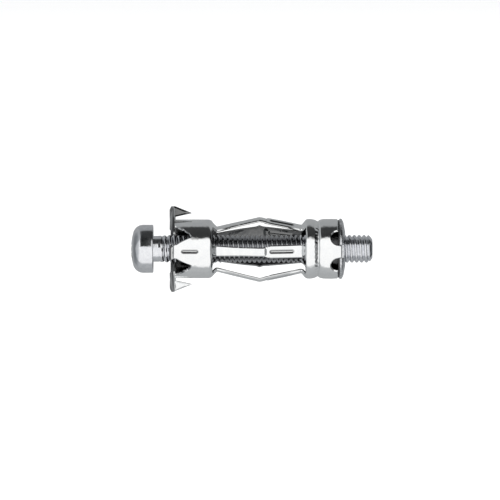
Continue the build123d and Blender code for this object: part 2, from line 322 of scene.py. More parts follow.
def clear_of(points, others, gap):
    """True for each point that is at least gap from all the others."""
    if not len(others):
        return np.ones(len(points), bool)
    keep = np.ones(len(points), bool)
    for start in range(0, len(points), 2000):
        part = points[start : start + 2000]
        apart = np.linalg.norm(part[:, None] - others[None], axis=2).min(axis=1)
        keep[start : start + 2000] = apart >= gap
    return keep


def sheet(
    name, outline, place, butts=(), features=(), grid=GRID, thickness=SHEET, edge_painted_shade=0.0
):
    """A sheet of steel with rounded cut edges, as one closed mesh.

    outline is a closed loop in (u, v), place turns (u, v) into points on the mid-sheet.
    On a line v = one of butts the sheet meets its neighbour, so the edge stays square.
    features are more closed loops that the mesh follows, such as round a pressed groove,
    each with how much painted shade darkens the colour along it.
    """
    edge = divided(np.array(outline, float), grid * 0.8)
    area = np.sum(edge[:, 0] * np.roll(edge[:, 1], -1) - edge[:, 1] * np.roll(edge[:, 0], -1))
    if area < 0:
        edge = edge[::-1]
    count = len(edge)
    on_butt = np.zeros(count, bool)
    for butt in butts:
        on_butt |= np.abs(edge[:, 1] - butt) < 1e-6
    near_side = ~(np.roll(on_butt, 1) & np.roll(on_butt, -1))
    corner = on_butt & near_side
    flush = on_butt & ~near_side

    _, along_u, along_v, normal = surface(place, edge)
    tangent_uv = np.roll(edge, -1, axis=0) - np.roll(edge, 1, axis=0)
    out_uv = np.stack([tangent_uv[:, 1], -tangent_uv[:, 0]], axis=1)
    for i in np.flatnonzero(corner):
        inner = edge[(i + 1) % count] if on_butt[(i + 1) % count] else edge[i - 1]
        out_uv[i] = [np.sign(edge[i, 0] - inner[0]), 0]
    tangent = along_u * -out_uv[:, 1:] + along_v * out_uv[:, :1]
    sideways = np.cross(tangent, normal)
    sideways /= np.linalg.norm(sideways, axis=1)[:, None]
    rough_out = along_u * out_uv[:, :1] + along_v * out_uv[:, 1:]
    sideways *= np.sign(np.sum(sideways * rough_out, axis=1))[:, None]
    step_u = np.sum(sideways * along_u, axis=1) / np.sum(along_u**2, axis=1)
    step_v = np.sum(sideways * along_v, axis=1) / np.sum(along_v**2, axis=1)
    inset = edge - ROLL_WIDTH * np.stack([step_u, step_v], axis=1)

    low, high = edge.min(axis=0), edge.max(axis=0)
    across = np.arange(low[0] + grid / 2, high[0], grid)
    down = np.arange(low[1] + grid / 2, high[1], grid)
    lattice = np.stack(np.meshgrid(across, down), axis=2).reshape(-1, 2)
    odd_row = np.round((lattice[:, 1] - low[1]) / grid).astype(int) % 2
    lattice[:, 0] += np.where(odd_row, grid / 4, -grid / 4)
    lattice = lattice[inside(edge, lattice)]
    lattice = lattice[clear_of(lattice, edge, ROLL_WIDTH + grid * 0.4)]
    feature_points = np.concatenate([loop for loop, _ in features] or [np.zeros((0, 2))])
    lattice = lattice[clear_of(lattice, feature_points, GROOVE_WALL * 0.6)]

    rings = [np.arange(count), np.arange(count, 2 * count)]
    stacked = [edge, np.where(flush[:, None], edge, inset)]
    start = 2 * count
    for loop, _ in features:
        rings.append(np.arange(start, start + len(loop)))
        stacked.append(loop)
        start += len(loop)
    stacked.append(lattice)
    flat = np.concatenate(stacked)
    constraints = [(int(a), int(b)) for ring in rings for a, b in zip(ring, np.roll(ring, -1))]
    uv, _, faces, origins, _, _ = delaunay_2d_cdt(
        [Vector(p) for p in flat], constraints, [], 0, 1e-5, True
    )
    uv = np.array([tuple(p) for p in uv])
    faces = np.array([list(f) for f in faces if len(f) == 3])
    faces = faces[inside(edge, uv[faces].mean(axis=1))]

    new_of = {}
    for new, olds in enumerate(origins):
        for old in olds:
            new_of[old] = new
    rim = np.array([new_of[i] for i in range(count)])
    ring = np.array([new_of[i] for i in range(count, 2 * count)])
    point, _, _, normal = surface(place, uv)
    lowered = np.zeros(len(uv))
    lowered[rim[~flush]] = 1
    top = point + normal * (thickness / 2 - ROLL_DROP * lowered)[:, None]
    bottom = point - normal * (thickness / 2 - INNER_ROLL_DROP * lowered)[:, None]
    outward = np.zeros_like(normal)
    outward[ring] = sideways
    outward[rim] = sideways
    rolled = normal + ROLL_LEAN * outward
    rolled /= np.linalg.norm(rolled, axis=1)[:, None]
    near_edge = np.zeros(len(uv), bool)
    near_edge[ring] = near_edge[rim] = True
    on_roll = near_edge[faces].all(axis=1) & (lowered[faces].sum(axis=1) > 0)
    under = np.where(lowered[:, None] > 0, outward, -normal)

    total = len(uv)
    polygons, shading = [], []
    for face, roll in zip(faces[:, ::-1], on_roll):
        polygons.append(face.tolist())
        shading.append((rolled if roll else normal)[face])
    for face in faces:
        polygons.append((face + total).tolist())
        shading.append(under[face])
    for a, b in zip(rim, np.roll(rim, -1)):
        if a != b:
            polygons.append([int(a), int(b), int(b) + total, int(a) + total])
            shading.append(np.stack([outward[a], outward[b], outward[b], outward[a]]))
    obj = solid(name, np.concatenate([top, bottom]), polygons, np.concatenate(shading))
    # painted shade: the whole inner side is darkened as if shaded inside the sleeve, the outer cut
    # edges by the given edge amount, the inner cut edges a little less than the inner side, and
    # each feature loop by its own amount
    painted_shade_amount = np.repeat([0.0, 1.0], total)
    painted_shade_amount[rim[~flush]] = edge_painted_shade
    painted_shade_amount[rim[~flush] + total] = INNER_EDGE_PAINTED_SHADE
    for loop_ring, (_, loop_painted_shade) in zip(rings[2:], features):
        painted_shade_amount[[new_of[i] for i in loop_ring]] = loop_painted_shade
    painted_shade = obj.data.attributes.new("painted_shade", "FLOAT", "POINT")
    painted_shade.data.foreach_set("value", painted_shade_amount.tolist())
    return obj


def solid(name, points, faces, normals=None):
    """A mesh object from points in mm, smooth or with given normals at the faces' corners."""
    mesh = bpy.data.meshes.new(name)
    mesh.from_pydata((np.asarray(points) * MM).tolist(), [], faces)
    mesh.validate()
    mesh.shade_smooth()
    if normals is not None and len(mesh.loops) == len(normals):
        mesh.normals_split_custom_set(np.asarray(normals).tolist())
    mesh.update()
    obj = bpy.data.objects.new(name, mesh)
    bpy.context.scene.collection.objects.link(obj)
    return obj


def slot_loops(groove):
    """Round-ended loops round a groove pressed along v, each with how much painted shade it gets;
    the groove's sloping wall is painted darker.
    """
    centre_v, length, width = sleeve.length_at_x(groove["x"]), groove["length"], groove["width"]
    loops = []
    for inset, painted_shade_amount in (
        (-GROOVE_LIP, 0.0),
        (GROOVE_LIP, GROOVE_PAINTED_SHADE),
        (GROOVE_WALL - GROOVE_LIP, GROOVE_PAINTED_SHADE),
        (GROOVE_WALL + GROOVE_LIP, 0.0),
    ):
        radius = width / 2 - inset
        half = length / 2 - width / 2
        ends = []
        for end, start in ((half, 0), (-half, pi)):
            for angle in np.linspace(start, start + pi, 9):
                ends.append((radius * cos(angle), centre_v + end + radius * sin(angle)))
        loops.append((divided(np.array(ends), 0.2), painted_shade_amount))
    return loops


def groove_depth(du, dv, length, width):
    """How far a round-ended groove is pressed in, at an offset from its centre."""
    half = length / 2 - width / 2
    beyond = np.hypot(du, np.maximum(np.abs(dv) - half, 0))
    share = np.clip((width / 2 - beyond) / GROOVE_WALL, 0, 1)
    return GROOVE_DEPTH * share


# ---------------------------------------------------------------- sleeve, flange end
TAB_GROOVE = {"x": 3.65, "length": 3.75, "width": 1.06}
LEG_GROOVE = {"x": 22.45, "length": 5.4, "width": 1.06}


def smooth(share):
    """Eases from 0 to 1."""
    share = np.clip(share, 0, 1)
    return share * share * (3 - 2 * share)


def around(angle, x, r):
    """Points at an angle round the axis."""
    return np.stack([x, -r * np.cos(angle), r * np.sin(angle)], axis=-1)


def rim_curl(r):
    """How far the flange's rim is curled towards the wall."""
    return RIM_CURL * smooth((r - flange_r + RIM_CURL_WIDTH) / RIM_CURL_WIDTH)


def place_tube(uv):
    """Rolled part of the sleeve: u is the arc at the barrel's mid-sheet."""
    angle = uv[:, 0] / BARREL_MID
    x, r = sleeve.at(uv[:, 1])
    r = r - groove_depth(angle * r, x - TAB_GROOVE["x"], TAB_GROOVE["length"], TAB_GROOVE["width"])
    fade_out = smooth((FLANK_END_X - x) / FLANK_FADE_OUT)
    on_flank = smooth((x - FLANK_START_X) / FLANK_FADE_IN) * fade_out
    r = r - KNURL_DEPTH * on_flank * (0.5 + 0.5 * np.cos(KNURLS * angle))
    off_barbs = smooth((np.abs(r * np.cos(angle)) - DISH_CLEAR) / DISH_EASE)
    dished = PETAL_DISH * off_barbs * smooth((r - DISH_START_R) / DISH_SPREAD)
    dished = dished * (np.abs(np.sin(angle)) > DISH_LEAST_SINE)
    return around(angle, x + (dished + rim_curl(r)) * (x < SLOT_START_X / 4), r)


def arc_u(angle_degrees):
    return radians(angle_degrees) * BARREL_MID


seam_half = degrees(SEAM_GAP / 2 / BARREL_MID)
first_angle, last_angle = SEAM_ANGLE + seam_half, SEAM_ANGLE + 360 - seam_half
angles_from_seam = sorted((degrees(a) - SEAM_ANGLE) % 360 + SEAM_ANGLE for a in leg_angles)


def notch(centre, side):
    """Edge of one notch, from the rim beside the narrow petal to the rim of the wide one."""
    edge = []
    rim_angle = degrees(asin(NARROW_PETAL_HALF / flange_r))
    edge.append((rim_angle, 0.0, PETAL_CORNER))
    for r in np.linspace(flange_r - 0.6, BARREL_MID + 0.25, 8):
        edge.append((degrees(asin(NARROW_PETAL_HALF / r)), sleeve.length_at_r(r), 0))
    root = sleeve.length_at_x(NOTCH_ROOT_X)
    apex = sleeve.length_at_x(NOTCH_APEX_X)
    neck_angle = degrees(asin(NARROW_PETAL_HALF / BARREL_MID))
    for share in np.linspace(0.05, 0.97, 8):
        bowed = share + 0.06 * sin(pi * share)
        angle = neck_angle + (NOTCH_APEX_ANGLE - neck_angle) * bowed
        edge.append((angle, root + (apex - root) * share, 0))
    for share in np.linspace(0, 1, 14):
        along = apex + (root - apex) * share**NOTCH_ARCH_POWER
        angle = NOTCH_APEX_ANGLE + (NOTCH_ROOT_ANGLE - NOTCH_APEX_ANGLE) * share
        edge.append((angle, along, 0))
    for share in np.linspace(0.1, 0.85, 6):
        angle = NOTCH_ROOT_ANGLE + (WIDE_PETAL_RIM_ANGLE - NOTCH_ROOT_ANGLE) * share**0.8
        edge.append((angle, root * (1 - share), 0))
    edge.append((WIDE_PETAL_RIM_ANGLE, 0.0, PETAL_CORNER))
    edge = [(arc_u(centre + side * angle), v, radius) for angle, v, radius in edge]
    return edge[::side]


def barb_step(centre):
    """Edge of the open step left in the rim where a barb was bent down, on leg 1's far side."""
    points = [
        (BARB_FACE_Y - BARB_BEND, None),
        (BARB_FACE_Y - BARB_BEND, BARB_INNER),
        (0.5, BARB_INNER + 0.1),
        (BARB_LENGTH, BARB_TIP_R),
        (BARB_LENGTH + 0.15, None),
    ]
    edge = []
    for side, out in points:
        r = flange_r if out is None else hypot(side, out)
        out = sqrt(flange_r**2 - side**2) if out is None else out
        radius = 0.0 if out > BARB_OUTER - 0.2 else 0.25
        turn = copysign(degrees(atan2(side, out)), side * centre)
        edge.append((arc_u(centre + turn), sleeve.length_at_r(r), radius))
    return edge if centre > 0 else edge[::-1]


def make_flange_barrel():
    slot_v = sleeve.length_at_x(SLOT_START_X)
    join_v = sleeve.length_at_x(FRONT_JOIN_X)
    rim = [(arc_u(first_angle), 0.0, 0.1)]
    rim += barb_step(-90) + notch(0, -1) + notch(0, 1) + barb_step(90)
    rim.append((arc_u(last_angle), 0.0, 0.1))
    half = degrees(asin(FRONT_HALF_WIDTH / FRONT_NECK_MID))
    back = [(arc_u(last_angle), slot_v, 0.1)]
    for angle in angles_from_seam[::-1]:
        for side in (1, -1):
            u = arc_u(angle + side * half)
            ends = [(u, slot_v, 0.42), (u, join_v, 0)]
            back += ends[::side]
    back.append((arc_u(first_angle), slot_v, 0.1))
    outline = filleted(rim + back, closed=True)
    features = slot_loops(TAB_GROOVE)
    return sheet("sleeve_flange_barrel", outline, place_tube, butts=(join_v,), features=features)


def make_barb(name, turn):
    """One barb: a triangle bent out of the flange about a radial line."""
    flat_part = 0.15
    quarter = BARB_BEND * pi / 2
    tip_u = flat_part + quarter + BARB_LENGTH - BARB_BEND + SHEET / 2

    def place(uv):
        u = uv[:, 0] - flat_part
        angle = np.clip(u / BARB_BEND, 0, pi / 2)
        to_tip = np.clip((u - quarter) / (tip_u - flat_part - quarter), 0, 1)
        over = uv[:, 1] - (BARB_INNER + (BARB_TIP_R - BARB_INNER) * to_tip)
        under = BARB_OUTER - (BARB_OUTER - BARB_TIP_R) * to_tip - uv[:, 1]
        within_rim = np.clip((np.minimum(over, under) - 0.2) / 0.3, 0, 1)
        pressed = BARB_DISH * within_rim * smooth(u / quarter - 0.2)
        y = BARB_FACE_Y - BARB_BEND + np.minimum(u, 0) + BARB_BEND * np.sin(angle) - pressed
        x = -SHEET / 2 + BARB_BEND * (1 - np.cos(angle)) + np.maximum(u - quarter, 0)
        x = x + rim_curl(uv[:, 1]) * (1 - smooth(u / quarter))
        return np.stack([x, y, turn * uv[:, 1]], axis=1)

    outline = filleted(
        [
            (0, BARB_INNER, 0),
            (flat_part + quarter, BARB_INNER, 0.3),
            (tip_u, BARB_TIP_R - 0.06, 0.08),
            (tip_u, BARB_TIP_R + 0.06, 0.08),
            (flat_part + quarter, BARB_OUTER, 0.3),
            (0, BARB_OUTER - 0.05, 0),
        ],
        closed=True,
    )
    # the barb's outer cut edges get painted shade, a dark outline round its face
    return sheet(name, outline, place, grid=0.12, thickness=SHEET - 0.03, edge_painted_shade=0.9)


# ---------------------------------------------------------------- sleeve, legs
def place_leg(angle):
    """A leg's strip: u is across it. It is flat at the crease and rolled at its two ends."""
    crease_v = sleeve.length_at_x(crease_x)
    front_v = sleeve.length_at_x(FRONT_JOIN_X)
    rear_v = sleeve.length_at_x(REAR_JOIN_X)
    groove_v = sleeve.length_at_x(LEG_GROOVE["x"])
    pinch_v = sleeve.length_at_x(PINCH_X)

    def place(uv):
        u, v = uv[:, 0], uv[:, 1]
        x, r = sleeve.at(v)
        ahead, behind = sleeve.at(v + 0.03), sleeve.at(v - 0.03)
        along = np.stack([ahead[0] - behind[0], ahead[1] - behind[1]], axis=1)
        along /= np.linalg.norm(along, axis=1)[:, None]
        in_front = v < crease_v
        to_front = (v - front_v) / (crease_v - front_v)
        to_rear = (rear_v - v) / (rear_v - crease_v)
        to_end = np.where(in_front, to_front, to_rear)
        share = np.clip(to_end / FLAT_FROM, 0, 1)
        neck_r = np.where(in_front, FRONT_NECK_MID, REAR_NECK_MID)
        curve = (1 - FLATTENED * share * share * (3 - 2 * share)) / neck_r
        drop = (1 - np.cos(curve * u)) / curve
        drop = drop + groove_depth(u, v - groove_v, LEG_GROOVE["length"], LEG_GROOVE["width"])
        pinch = np.exp(-(((v - pinch_v) / PINCH_LENGTH) ** 2) - (u / PINCH_WIDTH) ** 4)
        drop = drop + PINCH_DEPTH * pinch
        across = np.sin(curve * u) / curve
        x = x + along[:, 1] * drop
        out = r - along[:, 0] * drop
        outward = np.array([-cos(angle), sin(angle)])
        tangential = np.array([sin(angle), cos(angle)])
        yz = out[:, None] * outward + across[:, None] * tangential
        return np.column_stack([x, yz])

    return place


def half_width(x, at_crease):
    """Half of a leg's width, at a place along the axis."""
    rear = crease_x + WIDEN_START, crease_x + WIDEN_END
    ramp = smooth((x - rear[0]) / (rear[1] - rear[0]))
    taper = np.clip((x - FRONT_JOIN_X) / (TAPER_END_X - FRONT_JOIN_X), 0, 1)
    front = FRONT_HALF_WIDTH + (at_crease - FRONT_HALF_WIDTH) * taper
    bulge = CREASE_BULGE * np.exp(-(((x - crease_x) / CREASE_BULGE_LENGTH) ** 2))
    bulge = bulge * (at_crease > CREASE_HALF_WIDTH)
    return front + (REAR_HALF_WIDTH - at_crease) * ramp + bulge


def leg_strip(name, angle, from_x, to_x, butts):
    """The stretch of one leg between two places along the axis."""
    xs = np.linspace(from_x, to_x, 40)
    vs = np.array([sleeve.length_at_x(x) for x in xs])
    side = half_width(xs, SEAM_LEG_CREASE_HALF_WIDTH if cos(angle) < 0 else CREASE_HALF_WIDTH)
    radius = np.interp(xs, [from_x, to_x], sleeve.at(vs[[0, -1]])[1])
    arc = radius * np.arcsin(np.minimum(side / radius, 1))
    outline = [(u, v) for u, v in zip(arc, vs)] + [(-u, v) for u, v in zip(arc[::-1], vs[::-1])]
    features = slot_loops(LEG_GROOVE) if from_x < LEG_GROOVE["x"] - 1 < to_x else []
    butt_lines = [vs[0] if end == "front" else vs[-1] for end in butts]
    return sheet(name, outline, place_leg(angle), butts=butt_lines, features=features, grid=0.2)


# ---------------------------------------------------------------- sleeve, rear collar
REAR_NOTCH_R = 1.47
REAR_NOTCH_ANGLE = 28.0


def make_collar():
    slot_v = sleeve.length_at_x(REAR_SLOT_X)
    join_v = sleeve.length_at_x(REAR_JOIN_X)
    open_v = sleeve.length_at_x(rear_fold_x - OPEN_END_LAP)
    edge_v = sleeve.length_at_x(REAR_EDGE_X)
    tab_v = sleeve.length_at_x(TAB_END_X)
    half = degrees(asin(REAR_HALF_WIDTH / REAR_NECK_MID))
    front = [(arc_u(first_angle), slot_v, 0.1)]
    for angle in angles_from_seam:
        end_v = join_v if abs(angle) < 1 else open_v
        for side in (-1, 1):
            u = arc_u(angle + side * half)
            ends = [(u, slot_v, 0.45), (u, end_v, 0)]
            front += ends[:: -side]
    front.append((arc_u(last_angle), slot_v, 0.1))
    tab = arc_u(REAR_NOTCH_ANGLE) - REAR_NOTCH_R - 0.15
    back = [(arc_u(last_angle), tab_v, 0.1), (arc_u(180) - tab, tab_v, 0.25)]
    far_notch = 180 - REAR_NOTCH_ANGLE
    for middle in (far_notch, REAR_NOTCH_ANGLE, -REAR_NOTCH_ANGLE, -far_notch):
        for turn in np.linspace(0, pi, 13):
            u = arc_u(middle) + REAR_NOTCH_R * cos(turn)
            back.append((u, edge_v - REAR_NOTCH_R * sin(turn), 0))
        if middle == REAR_NOTCH_ANGLE:
            back += [(tab, tab_v, 0.25), (-tab, tab_v, 0.25)]
    back += [(tab - arc_u(180), tab_v, 0.25), (arc_u(first_angle), tab_v, 0.1)]
    outline = filleted(front + back, closed=True)
    return sheet("sleeve_rear_collar", outline, place_tube, butts=(join_v,), grid=0.18)


# ---------------------------------------------------------------- turned parts
def lathe(name, rows, segments, radius_at=None):
    """A closed mesh turned about the axis. rows are (x, r), from one end to the other."""
    angles = np.arange(segments) * 2 * pi / segments
    points, faces = [], []
    for x, r in rows:
        rr = np.full(segments, float(r)) if radius_at is None else radius_at(x, r, angles)
        points.append(around(angles, np.full(segments, float(x)), rr))
    points = np.concatenate(points)
    for row in range(len(rows) - 1):
        for i in range(segments):
            j = (i + 1) % segments
            a, b = row * segments, (row + 1) * segments
            faces.append((a + i, a + j, b + j, b + i))
    faces.append(tuple(range(segments))[::-1])
    faces.append(tuple(range((len(rows) - 1) * segments, len(rows) * segments)))
    return solid(name, points, faces)


def mark_painted_shade(obj, from_x, to_x):
    """Marks a piece's points between two places along the axis for painted shade, where the sleeve
    would shade them.
    """
    marks = [float(from_x - 0.01 < v.co.x / MM < to_x) for v in obj.data.vertices]
    painted_shade = obj.data.attributes.new("painted_shade", "FLOAT", "POINT")
    painted_shade.data.foreach_set("value", marks)


def make_nut():
    """The end nut: a ring body inside the collar, a rim and a shallow dome."""
    rim_x = nut_low.x + NUT_RIM_AT
    end_x = nut_high.x
    rim_r = nut_high.z

    outline = filleted(
        [
            (nut_low.x, 3.3, 0),
            (nut_low.x, NUT_BODY_R, 0.3),
            (nut_low.x + 0.7, NUT_BODY_R, 0.1),
            (nut_low.x + 0.9, NUT_WAIST_R, 0.1),
            (rim_x - 0.15, NUT_WAIST_R, 0.1),
            (rim_x - 0.1, NUT_BACK_R, 0.05),
            (rim_x + NUT_GAP, NUT_BACK_R, 0.05),
            (rim_x + NUT_GAP, rim_r, 0.06),
            (rim_x + 0.68, rim_r, 0.3),
            (end_x - 0.36, rim_r - 0.78, 0.5),
            (end_x, 3.5, 0.35),
            (end_x - 0.05, THREAD_R + 0.25, 0.1),
            (end_x - 0.5, THREAD_R - 0.1, 0),
        ],
        step=0.05,
    )
    dense = [outline[0]]
    for a, b in zip(outline[:-1], outline[1:]):
        steps = max(1, int(np.linalg.norm(b - a) / 0.25))
        dense += [a + (b - a) * (k + 1) / steps for k in range(steps)]

    def radius_at(x, r, angles):
        off = np.abs(r * np.sin(angles))
        slotted = (off < NUT_SLOT_HALF) & (x > rim_x - 0.2)
        return np.where(slotted & (r > NUT_SLOT_R), np.minimum(r, NUT_SLOT_R), r)

    nut = lathe("end_nut_body", dense, 192, radius_at)
    # painted shade on the nut body inside the collar
    mark_painted_shade(nut, nut_low.x, rim_x + NUT_GAP)
    return nut


def make_thread():
    """The screw's threaded shank: a helical thread, a faint run-out and a chamfered tail."""
    start_x, samples, segments = screw_low.x + THREAD_PHASE, 16, 80
    turns = int((tip_x - start_x) / THREAD_PITCH) + 3
    rows = turns * samples
    points = []
    for i in range(segments):
        turn = i / segments
        j = np.arange(rows + 1)
        x = start_x - THREAD_PITCH + (j / samples + turn) * THREAD_PITCH
        wave = np.abs(np.cos(pi * j / samples)) ** CREST_POWER
        crest = THREAD_ROOT_R + (THREAD_R - THREAD_ROOT_R) * wave
        growth = np.clip((x - THREAD_START_X) / THREAD_RUN_OUT, 0.0, 1.0)
        r = SHANK_R + (crest - SHANK_R) * growth
        r = np.where(growth < 1, np.minimum(r, SHANK_R + 0.05 + 0.2 * growth), r)
        chamfer_x = tip_x - CHAMFER_LENGTH
        taper = np.clip((x - chamfer_x) / CHAMFER_LENGTH, 0, 1) ** CHAMFER_POWER
        r = np.where(x > chamfer_x, np.minimum(r, THREAD_R - 0.1 - taper * CHAMFER_DEPTH), r)
        x = np.clip(x, start_x, tip_x)
        points.append(around(np.full(rows + 1, -2 * pi * turn), x, r))
    points = np.concatenate(points)
    faces = []
    for i in range(segments):
        shift = samples if i == segments - 1 else 0
        near, far = i * (rows + 1), ((i + 1) % segments) * (rows + 1)
        for j in range(rows - shift):
            faces.append((near + j, far + j + shift, far + j + 1 + shift, near + j + 1))
    obj = solid("machine_screw_thread", points, faces)
    close_ends(obj)
    # painted shade on the thread inside the sleeve
    mark_painted_shade(obj, BARREL_MID, rear_fold_x)
    return obj


def close_ends(obj):
    """Merges the clamped ends of a thread into rings and caps them."""
    bm = bmesh.new()
    bm.from_mesh(obj.data)
    bmesh.ops.remove_doubles(bm, verts=bm.verts, dist=1e-7)
    bmesh.ops.dissolve_degenerate(bm, edges=bm.edges, dist=1e-8)
    open_edges = [e for e in bm.edges if e.is_boundary]
    for edge in open_edges:
        edge.smooth = False
    bmesh.ops.holes_fill(bm, edges=open_edges, sides=0)
    bmesh.ops.recalc_face_normals(bm, faces=bm.faces)
    bm.to_mesh(obj.data)
    bm.free()
    obj.data.shade_smooth()


def make_head():
    """Pan head with a domed face and a cross recess."""
    top_x = screw_low.x
    corner_r = head_r - HEAD_CORNER
    corner_x = HEAD_UNDER_X - HEAD_SIDE
    rise = corner_x - HEAD_CORNER - top_x
    offset = (corner_r**2 - rise**2) / (2 * rise)
    dome = offset + HEAD_CORNER + rise
    meet = atan2(offset, corner_r)
    rows = []
    for share in np.linspace(0.02, 1, 26):
        angle = asin((corner_r + HEAD_CORNER * cos(meet)) / dome) * share
        rows.append((corner_x + offset - dome * cos(angle), dome * sin(angle)))
    for angle in np.linspace(meet, 0, 22)[1:]:
        rows.append((corner_x - HEAD_CORNER * sin(angle), corner_r + HEAD_CORNER * cos(angle)))
    rows += [(corner_x + 0.4, head_r), (corner_x + 0.8, head_r), (HEAD_UNDER_X - 0.35, head_r)]
    for angle in np.linspace(0, pi / 2, 6):
        rows.append((HEAD_UNDER_X - 0.2 + 0.2 * sin(angle), head_r - 0.2 + 0.2 * cos(angle)))
    rows += [(HEAD_UNDER_X, 4.0), (HEAD_UNDER_X, 2.0)]
    head = lathe("machine_screw_head", rows[::-1], 160)
    cutter = recess_cutter(top_x)
    cut = head.modifiers.new("recess", "BOOLEAN")
    cut.object = cutter
    cut.operation = "DIFFERENCE"
    cut.solver = "EXACT"
    bpy.context.view_layer.update()
    depsgraph = bpy.context.evaluated_depsgraph_get()
    baked = bpy.data.meshes.new_from_object(head.evaluated_get(depsgraph))
    head.modifiers.clear()
    head.data = baked
    bpy.data.objects.remove(cutter)
    head.data.set_sharp_from_angle(angle=radians(35))
    return head


def recess_cutter(top_x):
    """A tapered cross, narrower towards its floor."""
    span, wing, depth = 2.9, 0.62, 2.7
    points, faces = [], []
    corners = []
    for quarter in range(4):
        turn = quarter * pi / 2 + pi / 4
        for a, b in ((span, -wing), (span, wing), (wing, wing)):
            corners.append((a * cos(turn) - b * sin(turn), a * sin(turn) + b * cos(turn)))
    for x, scale in ((top_x - 1.0, 1.08), (top_x + depth * 0.72, 0.78), (top_x + depth, 0.3)):
        points += [(x, y * scale, z * scale) for y, z in corners]
    count = len(corners)
    for level in range(2):
        for i in range(count):
            j = (i + 1) % count
            a, b = level * count, (level + 1) * count
            faces.append((a + i, a + j, b + j, b + i))
    faces.append(tuple(range(count))[::-1])
    faces.append(tuple(range(2 * count, 3 * count)))
    return solid("recess_cutter", points, faces)


# ---------------------------------------------------------------- materials
WAVES_PER_METRE = 420


def zinc(name, light, dark, roughness, grain, relief, waves, painted_shade):
    """Bright zinc plate: faint mottling, fine relief, soft waves (mm) and uneven gloss.

    Where the mesh marks a point, its colour is darkened as painted shade; the last argument is the
    share of colour left at a full mark.
    """
    material = bpy.data.materials.new(name)
    material.use_nodes = True
    nodes, links = material.node_tree.nodes, material.node_tree.links
    shader = nodes["Principled BSDF"]
    shader.inputs["Metallic"].default_value = 1.0
    place = nodes.new("ShaderNodeTexCoord")

    def noise(scale, detail, stretch=1.0):
        spread = nodes.new("ShaderNodeMapping")
        spread.inputs["Scale"].default_value = (1.0, stretch, stretch)
        links.new(place.outputs["Object"], spread.inputs["Vector"])
        pattern = nodes.new("ShaderNodeTexNoise")
        pattern.inputs["Scale"].default_value = scale
        pattern.inputs["Detail"].default_value = detail
        links.new(spread.outputs["Vector"], pattern.inputs["Vector"])
        return pattern.outputs["Fac"]

    def mapped(value, low, high, from_low=0.3, from_high=0.7):
        spread = nodes.new("ShaderNodeMapRange")
        spread.inputs["From Min"].default_value = from_low
        spread.inputs["From Max"].default_value = from_high
        spread.inputs["To Min"].default_value = low
        spread.inputs["To Max"].default_value = high
        links.new(value, spread.inputs["Value"])
        return spread.outputs["Result"]

    mottle = noise(grain, 6.0)
    tint = nodes.new("ShaderNodeValToRGB")
    tint.color_ramp.elements[0].position = 0.35
    tint.color_ramp.elements[0].color = (*dark, 1)
    tint.color_ramp.elements[1].position = 0.65
    tint.color_ramp.elements[1].color = (*light, 1)
    links.new(mottle, tint.inputs["Fac"])
    # painted shade: the colour is scaled down where the mesh marks it
    side = nodes.new("ShaderNodeAttribute")
    side.attribute_name = "painted_shade"
    shade = nodes.new("ShaderNodeVectorMath")
    shade.operation = "SCALE"
    links.new(tint.outputs["Color"], shade.inputs[0])
    links.new(mapped(side.outputs["Fac"], 1.0, painted_shade, 0.0, 1.0), shade.inputs["Scale"])
    links.new(shade.outputs["Vector"], shader.inputs["Base Color"])
    links.new(mapped(mottle, roughness * 0.75, roughness * 1.35), shader.inputs["Roughness"])

    surface_normal = None
    long_waves, fine = noise(WAVES_PER_METRE, 2.5, 0.6), noise(grain * 2.5, 4.0)
    for pattern, depth in ((long_waves, waves), (fine, relief)):
        bump = nodes.new("ShaderNodeBump")
        bump.inputs["Distance"].default_value = depth * MM
        links.new(pattern, bump.inputs["Height"])
        if surface_normal:
            links.new(surface_normal, bump.inputs["Normal"])
        surface_normal = bump.outputs["Normal"]
    links.new(surface_normal, shader.inputs["Normal"])
    return material


def floor_material():
    material = bpy.data.materials.new("pale_floor")
    material.use_nodes = True
    nodes, links = material.node_tree.nodes, material.node_tree.links
    shader = nodes["Principled BSDF"]
    noise = nodes.new("ShaderNodeTexNoise")
    noise.inputs["Scale"].default_value = 3.0
    tone = nodes.new("ShaderNodeValToRGB")
    tone.color_ramp.elements[0].color = (0.95, 0.95, 0.95, 1)
    tone.color_ramp.elements[1].color = (0.97, 0.97, 0.97, 1)
    links.new(noise.outputs["Fac"], tone.inputs["Fac"])
    links.new(tone.outputs["Color"], shader.inputs["Base Color"])
    shader.inputs["Roughness"].default_value = 0.9
    return material


def flag_material():
    material = bpy.data.materials.new("flag_cloth")
    material.use_nodes = True
    shader = material.node_tree.nodes["Principled BSDF"]
    shader.inputs["Base Color"].default_value = (0.02, 0.022, 0.022, 1)
    shader.inputs["Roughness"].default_value = 1.0
    return material


sleeve_zinc = zinc(
    "sleeve_zinc", light=(0.95, 0.955, 0.95), dark=(0.90, 0.91, 0.915),
    roughness=0.1, grain=900, relief=0.004, waves=0.18, painted_shade=0.2,
)
nut_zinc = zinc(
    "nut_zinc", light=(0.78, 0.79, 0.80), dark=(0.46, 0.47, 0.49),
    roughness=0.22, grain=1600, relief=0.03, waves=0.1, painted_shade=0.12,
)
screw_zinc = zinc(
    "screw_zinc", light=(0.86, 0.87, 0.89), dark=(0.76, 0.77, 0.80),
    roughness=0.16, grain=1300, relief=0.006, waves=0.04, painted_shade=0.5,
)


def finish_piece(obj, material, body=None, replaces=()):
    obj.data.materials.clear()
    obj.data.materials.append(material)
    if body:
        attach(obj, body)
    if replaces:
        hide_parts(*replaces)


# ---------------------------------------------------------------- the pieces in place
finish_piece(make_flange_barrel(), sleeve_zinc, "sleeve_front", ["flange_barrel"])
for barb_name, turn in (("sleeve_barb_upper", 1), ("sleeve_barb_lower", -1)):
    finish_piece(make_barb(barb_name, turn), sleeve_zinc, "sleeve_front")

